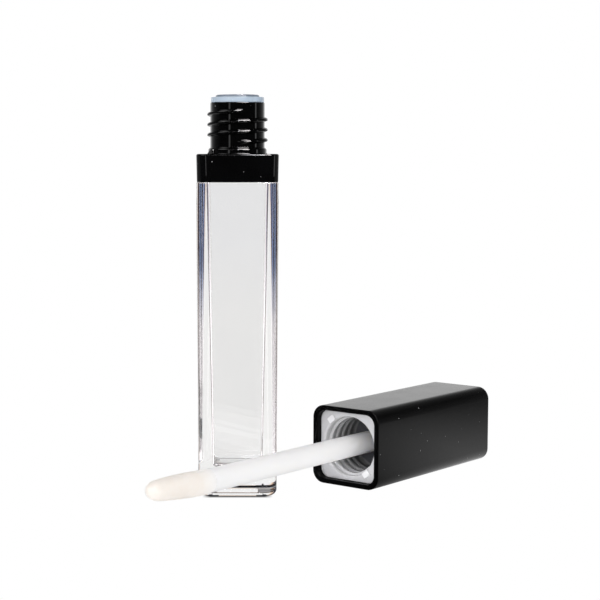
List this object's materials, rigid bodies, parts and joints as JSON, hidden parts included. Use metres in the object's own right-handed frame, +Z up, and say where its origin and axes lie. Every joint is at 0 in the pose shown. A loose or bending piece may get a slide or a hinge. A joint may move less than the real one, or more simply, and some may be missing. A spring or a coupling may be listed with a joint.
{
  "type": "lip gloss tube",
  "caption": "Square clear lip gloss bottle with a black screw neck, a wiper, and a black square cap carrying a flocked wand, lying beside it.",
  "frame": {"origin": "centre of the bottle's base, on the table", "axes": "+Z up along the bottle's axis; the bottle's front face looks along -Y; +X to the right, where the cap lies"},
  "size_m": [0.0799, 0.0931, 0.088],
  "materials": {
    "clear_bottle": "gloss",
    "black_gloss": "gloss",
    "black_cap": "gloss",
    "wiper_pe": "satin",
    "liner_white": "satin",
    "gasket_pe": "matte",
    "stem_white": "satin",
    "core_elastomer": "matte",
    "flock": "matte"
  },
  "bodies": {
    "bottle": {"bottle_body": "clear_bottle", "neck_collar": "black_gloss"},
    "wiper": {"wiper": "wiper_pe"},
    "washer": {"cap_gasket": "gasket_pe"},
    "cap": {"cap_shell": "black_cap", "cap_liner": "liner_white", "stem": "stem_white", "tip_core": "core_elastomer", "tip_flock": "flock"}
  },
  "joints": [
    {"name": "wiper_pull", "type": "slide", "parent": "bottle", "child": "wiper", "axis": [0, 0, 1], "range_m": [0, 0.013]},
    {"name": "cap_tip_up", "type": "hinge", "parent": "bottle", "child": "washer", "pos_m": [0.05502, 0.03938, 0], "axis": [-0.7683, 0.6401, 0], "range_deg": [0, 90]},
    {"name": "cap_twist", "type": "hinge", "parent": "washer", "child": "cap", "pos_m": [0.0243, 0.0025, 0.009], "axis": [0.6401, 0.7683, 0], "continuous": true}
  ]
}
